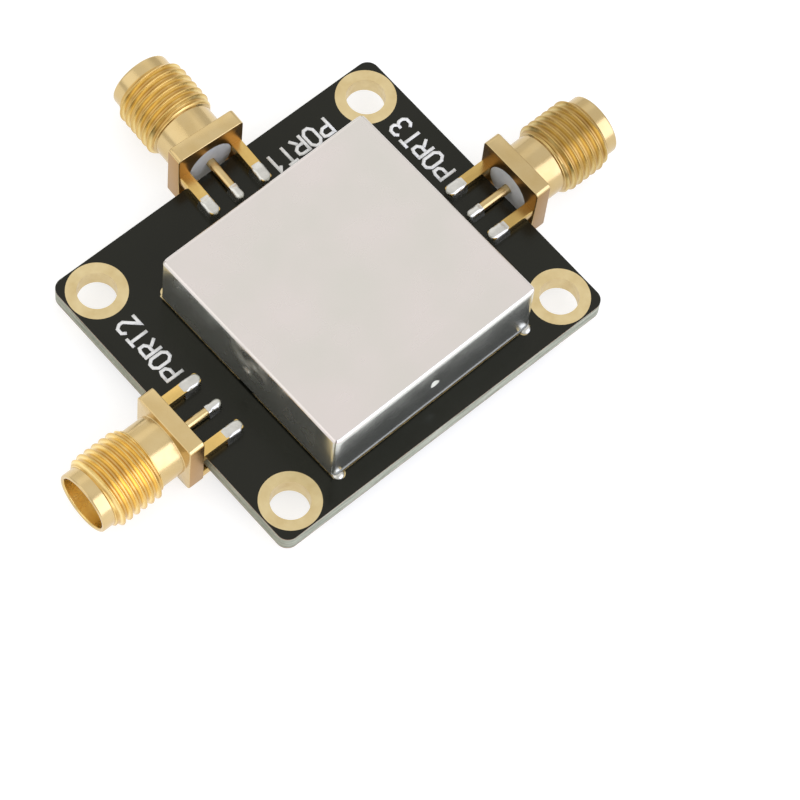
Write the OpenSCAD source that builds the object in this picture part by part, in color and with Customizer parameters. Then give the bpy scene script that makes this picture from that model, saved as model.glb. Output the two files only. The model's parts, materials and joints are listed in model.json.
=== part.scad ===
// Radio-frequency mixer module: a black circuit board with three gold edge-launch
// coaxial jacks, a folded shield can over the mixer circuit and four plated
// mounting holes. X runs between the two side jacks, Y towards the third jack,
// Z up. The origin is the centre of the hole pattern on the board's underside.

/* [Board] */
// Board length along X, between the two side jacks
board_x = 33; // [31:0.5:40]
// Board width along Y
board_y = 28.5; // [27:0.5:36]
// Finished board thickness, copper and solder mask included
board_t = 1.6; // [1.2:0.1:2.4]
// Radius of the board's corners
board_corner_r = 1; // [0.3:0.1:2]
// Thickness of the copper on each side of the core
copper_t = 0.035; // [0.02:0.005:0.07]
// Thickness of the solder mask, and of the gilded pads that lie level with it
mask_t = 0.05; // [0.03:0.01:0.1]
// Width of the lines that carry the signals
line_w = 0.3; // [0.2:0.05:0.4]
// Gap between a signal line or pad and the copper ground round it
line_gap = 0.15; // [0.1:0.01:0.2]

/* [Mounting holes] */
// Distance from the board's edges to each hole's centre
hole_edge = 2.6; // [2.5:0.05:3]
// Bore of the plated holes, for a 3 mm screw
hole_d = 3.2; // [2.7:0.1:3.6]
// Outer diameter of the plated ring round each hole
hole_ring_d = 5; // [4.4:0.1:5]
// Wall of the plating inside a hole
plating_t = 0.05; // [0.03:0.01:0.1]

/* [Jack flange and legs] */
// Side of the square flange
flange_w = 6.35; // [6:0.05:7]
// Thickness of the flange
flange_t = 1.45; // [1.2:0.05:2]
// Radius of the flange's corners
flange_corner_r = 0.4; // [0.1:0.05:0.8]
// Gap between the board's edge and the flange
flange_gap = 0.5; // [0.2:0.05:1]
// Distance between the two legs on one side of the board
leg_pitch = 5.08; // [5.08:0.02:5.3]
// Width of a leg
leg_w = 0.95; // [0.8:0.05:0.95]
// Height of a leg
leg_h = 0.95; // [0.8:0.05:1]
// Length of the legs behind the flange
leg_len = 4.15; // [3.2:0.05:4.4]
// Bevel on the legs' ends
leg_bevel = 0.2; // [0.1:0.05:0.3]
// Spare room for the board between the upper and lower legs
leg_slot_clearance = 0.1; // [0.05:0.01:0.12]

/* [Jack barrel] */
// Length of the barrel in front of the flange
barrel_len = 8; // [7:0.1:10]
// Length of the plain neck between flange and thread
neck_len = 2.2; // [1.5:0.1:2.8]
// Diameter of the neck
neck_d = 5.3; // [5.2:0.05:5.5]
// Major diameter of the thread
thread_d = 6.35; // [6.2:0.05:6.35]
// Pitch of the thread, 36 to the inch
thread_pitch = 0.7056; // [0.5:0.0001:1]
// Length of the plain lip in front of the thread
lip_len = 1.1; // [0.7:0.1:1.5]
// Diameter of the lip, which clears the nut's thread
lip_d = 5.3; // [5.2:0.05:5.5]
// Rounding of the lip's outer edge
lip_round_r = 0.25; // [0.1:0.05:0.3]
// Bore of the mouth
mouth_d = 4.6; // [4.4:0.05:4.8]
// Depth of the mouth, down to the mating shoulder
mouth_depth = 1.95; // [1.5:0.05:2.5]

/* [Jack inside] */
// Diameter of the insulator
insulator_d = 4.1; // [3.8:0.05:4.1]
// Outer diameter of the contact's socket
socket_d = 1.27; // [1.1:0.01:1.4]
// Bore of the socket
socket_bore_d = 0.94; // [0.8:0.01:0.98]
// Depth of the socket's bore
socket_depth = 2.6; // [2:0.1:3.5]
// Width of the slots in the socket
socket_slot_w = 0.18; // [0.1:0.01:0.25]
// Length of the slots in the socket
socket_slot_len = 1.8; // [1:0.1:2.4]
// Diameter of the contact's tail on the board
tail_d = 0.8; // [0.6:0.05:1]
// Insulator left behind the socket's shoulder, which holds the contact in
shoulder_len = 0.8; // [0.4:0.1:1.5]

/* [Jack places] */
// Place of the input jack along the board's rear edge
rf_jack_x = 0.2; // [-2:0.1:2]
// Angle by which the input jack is soldered out of square, in degrees
rf_jack_turn = -2.9; // [-3:0.1:3]

/* [Shield] */
// Outer length of the shield cover along X
shield_x = 20.65; // [17:0.05:21.5]
// Outer length of the shield cover along Y
shield_y = 20.4; // [17:0.05:20.8]
// Height of the shield above the board
shield_h = 6; // [4.8:0.1:8]
// Distance from the board's front edge to the cover
shield_front = 2.1; // [1.8:0.05:2.8]
// Angle by which the shield sits out of square, in degrees
shield_turn = 0.7; // [-1:0.1:1]
// Sheet thickness of frame and cover
sheet_t = 0.2; // [0.15:0.01:0.25]
// Outer radius of the cover's bends
bend_r = 0.5; // [0.4:0.05:0.8]
// Gap between the cover's lower edge and the board
cover_lift = 0.35; // [0.2:0.05:0.6]
// Clearance between frame and cover
cover_clearance = 0.05; // [0.03:0.01:0.1]
// Width of the seam at the cover's corners
seam_w = 0.12; // [0.05:0.01:0.15]
// Width of the rim that the frame folds inwards
rim_w = 1; // [0.6:0.1:2]
// Diameter of the snap dimples
dimple_d = 1; // [0.8:0.05:1.2]
// Depth of the snap dimples
dimple_depth = 0.2; // [0.1:0.01:0.25]
// Height of the snap dimples above the board
dimple_h = 3; // [2.6:0.1:3.4]
// Width of the shield's pad on the board
shield_pad_w = 1; // [0.7:0.05:1.2]
// How far that pad shows in front of the cover and behind it
shield_pad_show = 0.08; // [0:0.01:0.2]
// How far that pad's other two sides lie inside the cover's
shield_pad_inset = 0.06; // [0:0.01:0.2]
// Diameter of the round soldering pads at the shield's feet
foot_pad_d = 1; // [0.9:0.05:1.3]
// Distance of those pads from the shield's corners
foot_pad_inset = 0.7; // [0.65:0.05:1.2]
// Width of the gates in the frame where the lines pass under it
gate_w = 1.6; // [1.2:0.1:2]
// Height of those gates
gate_h = 0.7; // [0.4:0.05:1]

/* [Solder] */
// Thickness of the solder over legs and tails
solder_t = 0.12; // [0.1:0.01:0.16]
// Rounding of the solder's upper edges along a leg
solder_round_r = 0.3; // [0.2:0.05:0.35]
// Length of leg that the solder covers
solder_len = 1.7; // [1.2:0.1:2.2]
// Length of tail that the solder covers
tail_solder_len = 1.3; // [0.9:0.1:2]
// Height of the solder at the inner wire ends
wire_solder_h = 0.25; // [0.15:0.05:0.35]
// Length of the solder in front of a lead's toe
toe_solder_len = 0.15; // [0.1:0.05:0.2]

/* [Transformers] */
// Length of a core along its holes
core_len = 3.2; // [2.6:0.1:3.6]
// Width of a core across its holes
core_w = 5; // [4.6:0.1:5.4]
// Height of a core
core_h = 2.6; // [2.2:0.1:3]
// Radius of a core's long edges
core_round_r = 0.6; // [0.3:0.1:0.9]
// Diameter of the two holes in a core
core_hole_d = 1.3; // [1.2:0.05:1.4]
// Distance between the two holes
core_hole_pitch = 2.4; // [2.2:0.1:2.6]
// Diameter of the enamelled wire
wire_d = 0.2; // [0.15:0.01:0.22]
// Turns that lie above each other in the holes
wire_turns = 4; // [2:1:4]
// Radius of the bend in the wire ends
wire_bend_r = 0.4; // [0.3:0.05:0.6]
// Distance from the shield's middle to the middle of each core
core_offset = 5.4; // [5.2:0.1:5.8]

/* [Lines on the board] */
// Place of the third jack's line beside the first transformer
if_lane_x = 4; // [3.6:0.1:6]
// Place of the line that passes the diode quad
quad_lane_x = 2.3; // [2.2:0.1:2.6]
// Place of the line that turns under the diode quad
lo_lane_x = 1.8; // [1.8:0.05:1.9]

/* [Diode quad] */
// Length of the moulded package
quad_x = 2.9; // [2.6:0.1:3.2]
// Width of the moulded package
quad_y = 1.3; // [1.2:0.05:1.5]
// Height of the package's top above the board
quad_h = 1; // [0.9:0.05:1.2]
// Gap between the package and the board
quad_lift = 0.1; // [0.05:0.01:0.15]
// How far the package's sides lean in above and below the leads
quad_draft = 0.08; // [0.04:0.01:0.12]
// Distance between the two leads on one side
quad_pitch = 1.9; // [1.7:0.05:2]
// Width over the leads' feet
quad_span = 2.5; // [2.3:0.05:2.8]
// Length of a lead's foot
foot_len = 0.35; // [0.25:0.05:0.4]
// Width of a lead
lead_w = 0.4; // [0.3:0.05:0.5]
// Thickness of a lead
lead_t = 0.12; // [0.1:0.01:0.15]

/* [Hidden] */
$fn = 64;

gold = [0.85, 0.70, 0.42];
silver = [0.83, 0.82, 0.80];
copper = [0.78, 0.45, 0.25];
mask_black = [0.12, 0.12, 0.11];
// Overlap of pieces of one solid, so that they join
eps = 0.01;

// Hole pattern
hole_x = board_x / 2 - hole_edge;
hole_y = board_y / 2 - hole_edge;
drill_d = hole_d + 2 * plating_t;

// Jack, measured outwards from the board's edge and upwards from its underside
axis_z = board_t + tail_d / 2;
flange_front = flange_gap + flange_t;
mouth_x = flange_front + barrel_len;
shoulder_x = mouth_x - mouth_depth;
leg_tip = flange_gap - leg_len;
thread_depth = 0.5413 * thread_pitch;
thread_root_d = thread_d - 2 * thread_depth;
crest_flat = thread_pitch / 8;
flank = thread_depth * tan(30);
thread_len = barrel_len - neck_len - lip_len;
thread_turns = floor(thread_len / thread_pitch);

// Solder fingers: half width and the place of the nose
leg_half = leg_w / 2 + solder_t;
tail_half = tail_d / 2 + solder_t;
nose = leg_tip - solder_t;
tail_mid = leg_tip + tail_solder_len / 2;

// Shield, measured from its own middle
shield_mid_y = shield_front + shield_y / 2 - board_y / 2;
frame_x = shield_x - 2 * (sheet_t + cover_clearance);
frame_y = shield_y - 2 * (sheet_t + cover_clearance);
frame_h = shield_h - sheet_t - cover_clearance;
frame_r = bend_r - sheet_t - cover_clearance;
foot_pad_x = shield_x / 2 - foot_pad_inset;
dimple_r = (dimple_d * dimple_d / 4 + dimple_depth * dimple_depth) / (2 * dimple_depth);
snap_hole_d = dimple_d + 2 * sheet_t;

// Transformers: the lowest turn, and where the wire's ends come down
turn_step = 0.9 * wire_d;
low_turn_z = core_h / 2 - (wire_turns - 1) / 2 * turn_step;
lead_pitch = core_hole_pitch / 2;
winding_reach = core_len / 2 + core_hole_pitch / 2;
inner_pad = [0.7, 0.9];

// Diode quad
quad_foot_y = (quad_span - foot_len) / 2;
quad_pad = [lead_w + 0.2, inner_pad[1]];

// Where each jack stands: place on the board's edge and heading
rf_place = [rf_jack_x, board_y / 2, 90 + rf_jack_turn];
lo_place = [-board_x / 2, shield_mid_y, 180];
if_place = [board_x / 2, shield_mid_y, 0];
jack_places = [rf_place, lo_place, if_place];

// Moves a child from the jack's own axes to its place on the board
module at_jack(place) {
    translate([place[0], place[1], 0]) rotate(place[2]) children();
}

// Repeats a child at the four mounting holes
module at_holes() {
    for (sx = [-1, 1], sy = [-1, 1]) translate([sx * hole_x, sy * hole_y, 0]) children();
}

// Moves a child to the middle of the shield, turned as the shield is
module at_shield() {
    translate([0, shield_mid_y, 0]) rotate(shield_turn) children();
}

// Rectangle with round corners, centred
module rounded_rect(x, y, r) {
    square([x - 2 * r, y], center = true);
    square([x, y - 2 * r], center = true);
    for (sx = [-1, 1], sy = [-1, 1]) translate([sx * (x / 2 - r), sy * (y / 2 - r)]) circle(r);
}

// Rectangle given by its sides
module square_from(x0, x1, y0, y1) {
    translate([x0, y0]) square([x1 - x0, y1 - y0]);
}

// Rectangle standing on y = 0 with its two upper corners rounded
module arch(w, h, r) {
    square_from(-w / 2, w / 2, 0, h - r);
    square_from(r - w / 2, w / 2 - r, 0, h);
    for (side = [-1, 1]) translate([side * (w / 2 - r), h - r]) circle(r);
}

// Extrudes a profile of Y and Z along X, about the middle
module along_x(length) {
    rotate([90, 0, 90]) linear_extrude(length, center = true) children();
}

// Extrudes a profile of X and Z along Y, about the middle
module along_y(length) {
    rotate([90, 0, 0]) linear_extrude(length, center = true) children();
}

// Solid of revolution about the jack's axis, from a profile of length along X and radius along Y
module turned() {
    translate([0, 0, axis_z]) rotate([0, 90, 0]) rotate_extrude() rotate(90) mirror([0, 1]) children();
}

// Board

module board_outline() {
    rounded_rect(board_x, board_y, board_corner_r);
}

module board_core() {
    color([0.62, 0.63, 0.55]) layer(mask_t + copper_t, board_t - 2 * (mask_t + copper_t)) difference() {
        board_outline();
        at_holes() circle(d = drill_d);
    }
}

// One flat layer of the board, from height z upwards
module layer(z, t) {
    translate([0, 0, z]) linear_extrude(t) children();
}

module top_copper() {
    color(copper) layer(board_t - mask_t - copper_t, copper_t) {
        difference() {
            board_outline();
            at_holes() circle(d = drill_d);
            signal_copper(line_gap);
        }
        signal_copper(0);
    }
}

module bottom_copper() {
    color(copper) layer(mask_t, copper_t) difference() {
        board_outline();
        at_holes() circle(d = drill_d);
    }
}

module top_mask() {
    color(mask_black) layer(board_t - mask_t, mask_t) difference() {
        board_outline();
        at_holes() circle(d = hole_ring_d);
        top_pad_outlines();
    }
}

module bottom_mask() {
    color(mask_black) layer(0, mask_t) difference() {
        board_outline();
        at_holes() circle(d = hole_ring_d);
        bottom_pad_outlines();
    }
}

module top_pads() {
    color(gold) layer(board_t - mask_t, mask_t) top_pad_outlines();
}

module bottom_pads() {
    color(gold) layer(0, mask_t) bottom_pad_outlines();
}

module hole_liners() {
    color(gold) at_holes() difference() {
        union() {
            cylinder(d = drill_d, h = board_t);
            cylinder(d = hole_ring_d, h = mask_t);
            translate([0, 0, board_t - mask_t]) cylinder(d = hole_ring_d, h = mask_t);
        }
        translate([0, 0, -1]) cylinder(d = hole_d, h = board_t + 2);
    }
}

// Outline of a finger along X with a round nose at its start
module finger(half, from, to) {
    translate([from + half, 0]) circle(half);
    square_from(from + half, to, -half, half);
}

// Pads under one jack's legs, in the jack's axes
module leg_pads() {
    for (side = [-1, 1]) translate([0, side * leg_pitch / 2]) finger(leg_half, nose, leg_tip + solder_len);
}

// Pad under one jack's tail, grown on all sides
module tail_pad(grow) {
    finger(tail_half + grow, nose - grow, leg_tip + tail_solder_len + grow);
}

// Repeats a child at the shield's four soldering feet
module at_feet() {
    for (sx = [-1, 1], sy = [-1, 1]) translate([sx * foot_pad_x, sy * shield_y / 2, 0]) children();
}

// Repeats a child at the three gates where lines pass under the shield, with X pointing outwards
module at_gates() {
    rotate(90) translate([shield_y / 2, 0]) children();
    for (a = [0, 180]) rotate(a) translate([shield_x / 2, 0]) children();
}

// Ring of pad under the shield, open at the gates, with its round soldering pads
module shield_pad_ring() {
    difference() {
        union() {
            difference() {
                square([shield_x - 2 * shield_pad_inset, shield_y + 2 * shield_pad_show], center = true);
                square([shield_x - 2 * shield_pad_w, shield_y - 2 * shield_pad_w], center = true);
            }
            at_feet() circle(d = foot_pad_d);
        }
        at_gates() square([4 * shield_pad_w, gate_w], center = true);
    }
}

module top_pad_outlines() {
    for (place = jack_places) at_jack(place) {
        leg_pads();
        tail_pad(0);
    }
    at_shield() shield_pad_ring();
    at_quad_feet() square(quad_pad, center = true);
    at_rf_balun() at_wire_ends() square(inner_pad, center = true);
    at_lo_balun() at_wire_ends() square(inner_pad, center = true);
}

module bottom_pad_outlines() {
    for (place = jack_places) at_jack(place) leg_pads();
}

// Straight line of copper between two points on a level with each other, grown on all sides
module line(a, b, grow) {
    low = [min(a[0], b[0]), min(a[1], b[1])];
    high = [max(a[0], b[0]), max(a[1], b[1])];
    half = line_w / 2 + grow;
    square_from(low[0] - half, high[0] + half, low[1] - half, high[1] + half);
}

// Line of copper through a list of points
module path(points, grow) {
    for (i = [1 : len(points) - 1]) line(points[i - 1], points[i], grow);
}

// Lines and pads that carry signals, grown on all sides
module signal_copper(grow) {
    rf_tail_x = rf_jack_x - tail_mid * sin(rf_jack_turn);
    rf_tail_y = board_y / 2 + tail_mid * cos(rf_jack_turn) - shield_mid_y;
    side_tail = board_x / 2 + tail_mid;
    wire_end = core_offset + winding_reach;
    wire_root = core_offset - winding_reach;
    foot_x = quad_pitch / 2;
    for (place = jack_places) at_jack(place) tail_pad(grow);
    translate([0, shield_mid_y]) {
        path([[rf_tail_x, rf_tail_y], [rf_tail_x, wire_end], [0, wire_end]], grow);
        path([[-side_tail, 0], [-wire_end, 0]], grow);
        path([
            [side_tail, 0],
            [if_lane_x, 0],
            [if_lane_x, core_offset],
            [0, core_offset],
            [0, wire_root],
        ], grow);
        path([[-lead_pitch, wire_root], [-lead_pitch, quad_foot_y], [-foot_x, quad_foot_y]], grow);
        path([
            [lead_pitch, wire_root],
            [quad_lane_x, wire_root],
            [quad_lane_x, -quad_foot_y],
            [foot_x, -quad_foot_y],
        ], grow);
        path([
            [-wire_root, lead_pitch],
            [-lo_lane_x, lead_pitch],
            [-lo_lane_x, 0],
            [foot_x, 0],
            [foot_x, quad_foot_y],
        ], grow);
        path([[-wire_root, -lead_pitch], [-foot_x, -lead_pitch]], grow);
    }
    at_quad_feet() grown_pad(quad_pad, grow);
    at_rf_balun() at_wire_ends([0], [-1, 0, 1]) grown_pad(inner_pad, grow);
    at_lo_balun() at_wire_ends([0], [-1, 1]) grown_pad(inner_pad, grow);
}

module grown_pad(size, grow) {
    square([size[0] + 2 * grow, size[1] + 2 * grow], center = true);
}

// Jack

// One leg, lying along -X from the flange, with bevelled end; its underside is at z
module leg(side, z) {
    root = flange_gap + flange_t / 4;
    translate([0, side * leg_pitch / 2, z]) linear_extrude(leg_h) polygon([
        [root, -leg_w / 2],
        [root, leg_w / 2],
        [leg_tip + leg_bevel, leg_w / 2],
        [leg_tip, leg_w / 2 - leg_bevel],
        [leg_tip, leg_bevel - leg_w / 2],
        [leg_tip + leg_bevel, -leg_w / 2],
    ]);
}

// Half outline of the thread: 60 degree flanks with flat crests and roots
module thread_profile() {
    start = flange_front + neck_len + (thread_len - thread_turns * thread_pitch) / 2;
    ridges = [for (i = [0 : thread_turns - 1]) let (x = start + i * thread_pitch) each [
        [x, thread_root_d / 2],
        [x + flank, thread_d / 2],
        [x + flank + crest_flat, thread_d / 2],
        [x + 2 * flank + crest_flat, thread_root_d / 2],
    ]];
    polygon(concat(
        [[flange_front + neck_len, 0], [flange_front + neck_len, thread_root_d / 2]],
        ridges,
        [[mouth_x - lip_len + eps, thread_root_d / 2], [mouth_x - lip_len + eps, 0]]
    ));
}

// Half outline of the plain lip, with its outer edge rounded
module lip_profile() {
    r = lip_round_r;
    square_from(mouth_x - lip_len, mouth_x - r, 0, lip_d / 2);
    square_from(mouth_x - lip_len, mouth_x, 0, lip_d / 2 - r);
    translate([mouth_x - r, lip_d / 2 - r]) circle(r);
}

module jack_body() {
    color(gold) {
        difference() {
            union() {
                translate([flange_gap + flange_t / 2, 0, axis_z]) along_x(flange_t)
                    rounded_rect(flange_w, flange_w, flange_corner_r);
                turned() {
                    square_from(flange_front - eps, flange_front + neck_len + eps, 0, neck_d / 2);
                    thread_profile();
                    lip_profile();
                }
            }
            turned() square_from(flange_gap - 1, shoulder_x + eps, 0, insulator_d / 2);
            turned() square_from(shoulder_x, mouth_x + 1, 0, mouth_d / 2);
        }
        for (side = [-1, 1]) {
            leg(side, board_t);
            leg(side, -leg_slot_clearance - leg_h);
        }
    }
}

// Half outline of the contact: round-ended tail, then the socket's outside from its shoulder on
module contact_profile() {
    tail_r = tail_d / 2;
    intersection() {
        translate([leg_tip + tail_r, 0]) circle(tail_r);
        square_from(leg_tip, leg_tip + tail_d, 0, tail_r);
    }
    square_from(leg_tip + tail_r, flange_gap + shoulder_len + eps, 0, tail_r);
    square_from(flange_gap + shoulder_len, shoulder_x, 0, socket_d / 2);
}

module jack_insulator() {
    color([0.93, 0.93, 0.91]) turned() difference() {
        square_from(flange_gap, shoulder_x, 0, insulator_d / 2);
        contact_profile();
    }
}

module jack_contact() {
    color(gold) difference() {
        turned() contact_profile();
        turned() square_from(shoulder_x - socket_depth, shoulder_x + 1, 0, socket_bore_d / 2);
        translate([shoulder_x - socket_slot_len, -socket_d, axis_z - socket_slot_w / 2])
            cube([socket_slot_len + 1, 2 * socket_d, socket_slot_w]);
    }
}

// Solder standing on z = 0 along X, with a round nose and rounded upper edges
module solder_finger(half, from, to, top, r) {
    mid = (from + to) / 2;
    intersection() {
        linear_extrude(top + 1) finger(half, from, to);
        translate([mid, 0, 0]) along_y(4 * half) arch(to - from, top, r);
        translate([mid, 0, 0]) along_x(to - from + 1) arch(2 * half, top, r);
    }
}

module jack_solder() {
    leg_end = leg_tip + solder_len;
    upper_top = leg_h + solder_t;
    lower_top = leg_slot_clearance + leg_h + solder_t;
    color(silver) {
        difference() {
            for (side = [-1, 1]) translate([0, side * leg_pitch / 2, 0]) {
                translate([0, 0, board_t]) solder_finger(leg_half, nose, leg_end, upper_top, solder_round_r);
                mirror([0, 0, 1]) solder_finger(leg_half, nose, leg_end, lower_top, solder_round_r);
            }
            for (side = [-1, 1]) {
                leg(side, board_t);
                leg(side, -leg_slot_clearance - leg_h);
            }
        }
        difference() {
            translate([0, 0, board_t])
                solder_finger(tail_half, nose, leg_tip + tail_solder_len, tail_d + solder_t, tail_half - eps);
            turned() contact_profile();
        }
    }
}

// Shield

// Box standing on z = 0 with its four upper edges bent round
module bent_box(x, y, h, r) {
    intersection() {
        along_y(y) arch(x, h, r);
        along_x(x) arch(y, h, r);
    }
}

// Repeats a child at the middle of the cover's four sides, with X pointing outwards
module at_sides() {
    for (a = [0, 180]) {
        rotate(a) translate([shield_x / 2, 0, 0]) children();
        rotate(a + 90) translate([shield_y / 2, 0, 0]) children();
    }
}

module shield_frame() {
    color([0.72, 0.72, 0.70]) at_shield() translate([0, 0, board_t]) difference() {
        bent_box(frame_x, frame_y, frame_h, frame_r);
        translate([0, 0, -1]) linear_extrude(frame_h + 1 - sheet_t)
            square([frame_x - 2 * sheet_t, frame_y - 2 * sheet_t], center = true);
        translate([0, 0, -1]) linear_extrude(frame_h + 2)
            square([frame_x - 2 * rim_w, frame_y - 2 * rim_w], center = true);
        at_sides() translate([0, 0, dimple_h]) rotate([0, 90, 0])
            cylinder(d = snap_hole_d, h = 8 * sheet_t, center = true);
        at_gates() translate([0, 0, gate_h / 2 - 1]) cube([2 * rim_w, gate_w, gate_h + 2], center = true);
    }
}

// Ball that presses or lines a dimple, seen from the middle of a side
module dimple_ball(r) {
    translate([dimple_r - dimple_depth, 0, dimple_h - cover_lift]) sphere(r);
}

// Mitred slits at the cover's corners, from the edge in to where the bends begin
module corner_slits(wall_h) {
    for (sx = [-1, 1], sy = [-1, 1]) translate([sx * shield_x / 2, sy * shield_y / 2, wall_h / 2])
        rotate(45 * sx * sy) cube([2 * sqrt(2) * bend_r, seam_w, wall_h + 2], center = true);
}

module shield_cover() {
    wall_h = shield_h - cover_lift;
    inner_x = shield_x - 2 * sheet_t;
    inner_y = shield_y - 2 * sheet_t;
    color(silver) at_shield() translate([0, 0, board_t + cover_lift]) difference() {
        bent_box(shield_x, shield_y, wall_h, bend_r);
        difference() {
            translate([0, 0, -1]) bent_box(inner_x, inner_y, wall_h + 1 - sheet_t, bend_r - sheet_t);
            at_sides() dimple_ball(dimple_r + sheet_t);
        }
        at_sides() dimple_ball(dimple_r);
        corner_slits(wall_h);
    }
}

// Low round dome of solder
module solder_dome(r, h) {
    ball_r = (r * r + h * h) / (2 * h);
    intersection() {
        translate([0, 0, h - ball_r]) sphere(ball_r);
        cylinder(r = r, h = h);
    }
}

module shield_solder() {
    color(silver) translate([0, 0, board_t]) at_shield() difference() {
        at_feet() solder_dome(foot_pad_d / 2, cover_lift - cover_clearance);
        translate([0, 0, -1]) linear_extrude(cover_lift + 2) square([frame_x, frame_y], center = true);
    }
}

// Inner parts, placed about the middle of the shield's pad

// Moves a child to the transformer beside the input jack; its holes run along Y
module at_rf_balun() {
    translate([0, shield_mid_y + core_offset]) children();
}

// Moves a child to the transformer beside the oscillator's jack
module at_lo_balun() {
    translate([-core_offset, shield_mid_y]) rotate(90) children();
}

// Repeats a child at a transformer's wire ends; the numbers count the ends from its middle
module at_wire_ends(outer = [-1, 0, 1], inner = [-1, 0, 1]) {
    for (i = outer) translate([i * lead_pitch, winding_reach]) children();
    for (i = inner) translate([i * lead_pitch, -winding_reach]) rotate(180) children();
}

module balun_core() {
    color([0.23, 0.22, 0.22]) translate([0, 0, board_t + core_h / 2]) rotate([90, 0, 0]) difference() {
        linear_extrude(core_len, center = true) rounded_rect(core_w, core_h, core_round_r);
        for (side = [-1, 1]) translate([side * core_hole_pitch / 2, 0, 0])
            cylinder(d = core_hole_d, h = core_len + 2, center = true);
    }
}

// One closed turn of wire through both holes
module turn() {
    for (side = [-1, 1]) {
        translate([side * core_hole_pitch / 2, 0, 0]) rotate([90, 0, 0])
            cylinder(d = wire_d, h = core_len + eps, center = true);
        translate([0, side * core_len / 2, 0]) rotate(90 - 90 * side)
            rotate_extrude(angle = 180) translate([core_hole_pitch / 2, 0]) circle(d = wire_d);
    }
}

// Outer wire end: out of the hole, round a bend and down to its pad
module bent_end() {
    straight = winding_reach - wire_bend_r - core_len / 2;
    translate([0, -wire_bend_r, low_turn_z]) rotate([90, 0, 0]) cylinder(d = wire_d, h = straight);
    translate([0, -wire_bend_r, low_turn_z - wire_bend_r]) rotate([90, 0, 90])
        rotate_extrude(angle = 90) translate([wire_bend_r, 0]) circle(d = wire_d);
    cylinder(d = wire_d, h = low_turn_z - wire_bend_r);
}

module balun_winding() {
    color([0.60, 0.27, 0.13]) translate([0, 0, board_t]) {
        for (i = [0 : wire_turns - 1]) translate([0, 0, low_turn_z + i * turn_step]) turn($fn = 24);
        at_wire_ends([-1, 1], [-1, 1]) bent_end($fn = 24);
        at_wire_ends([0], [0]) cylinder(d = wire_d, h = low_turn_z, $fn = 24);
    }
}

// Repeats a child at the quad's four feet, with Y pointing outwards
module at_quad_feet() {
    for (a = [0, 180], side = [-1, 1])
        translate([0, shield_mid_y]) rotate(a) translate([side * quad_pitch / 2, quad_foot_y]) children();
}

module diode_quad() {
    wide = quad_y / 2;
    narrow = wide - quad_draft;
    mid = quad_h / 2;
    color([0.13, 0.13, 0.14]) translate([0, shield_mid_y, board_t]) along_x(quad_x) polygon([
        [-narrow, quad_lift],
        [narrow, quad_lift],
        [wide, mid - lead_t / 2],
        [wide, mid + lead_t / 2],
        [narrow, quad_h],
        [-narrow, quad_h],
        [-wide, mid + lead_t / 2],
        [-wide, mid - lead_t / 2],
    ]);
}

module diode_quad_leads() {
    root = quad_y / 2 - quad_foot_y;
    knee = -foot_len / 2;
    toe = foot_len / 2;
    mid = quad_h / 2;
    color(silver) translate([0, 0, board_t]) at_quad_feet() along_x(lead_w) polygon([
        [root, mid + lead_t / 2],
        [knee + lead_t, mid + lead_t / 2],
        [knee + lead_t, lead_t],
        [toe, lead_t],
        [toe, 0],
        [knee, 0],
        [knee, mid - lead_t / 2],
        [root, mid - lead_t / 2],
    ]);
}

// Solder round the wire ends and at the toes of the quad's leads
module inner_solder() {
    color(silver) translate([0, 0, board_t]) {
        at_rf_balun() at_wire_ends() wire_solder();
        at_lo_balun() at_wire_ends() wire_solder();
        at_quad_feet() along_x(lead_w) polygon([
            [foot_len / 2, 0],
            [foot_len / 2 + toe_solder_len, 0],
            [foot_len / 2, lead_t],
        ]);
    }
}

module wire_solder() {
    difference() {
        solder_dome(inner_pad[0] / 2, wire_solder_h);
        translate([0, 0, -1]) cylinder(d = wire_d, h = wire_solder_h + 2, $fn = 24);
    }
}

board_core();
top_copper();
bottom_copper();
top_mask();
bottom_mask();
top_pads();
bottom_pads();
hole_liners();
at_jack(rf_place) jack_body();  // rf_jack_body
at_jack(rf_place) jack_insulator();  // rf_jack_insulator
at_jack(rf_place) jack_contact();  // rf_jack_contact
at_jack(rf_place) jack_solder();  // rf_jack_solder
at_jack(lo_place) jack_body();  // lo_jack_body
at_jack(lo_place) jack_insulator();  // lo_jack_insulator
at_jack(lo_place) jack_contact();  // lo_jack_contact
at_jack(lo_place) jack_solder();  // lo_jack_solder
at_jack(if_place) jack_body();  // if_jack_body
at_jack(if_place) jack_insulator();  // if_jack_insulator
at_jack(if_place) jack_contact();  // if_jack_contact
at_jack(if_place) jack_solder();  // if_jack_solder
shield_frame();
shield_cover();
shield_solder();
diode_quad();
diode_quad_leads();
at_rf_balun() balun_core();  // rf_balun_core
at_rf_balun() balun_winding();  // rf_balun_winding
at_lo_balun() balun_core();  // lo_balun_core
at_lo_balun() balun_winding();  // lo_balun_winding
inner_solder();
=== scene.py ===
import json
import math

import bmesh
import bpy
from mathutils import Matrix, Vector, noise


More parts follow.
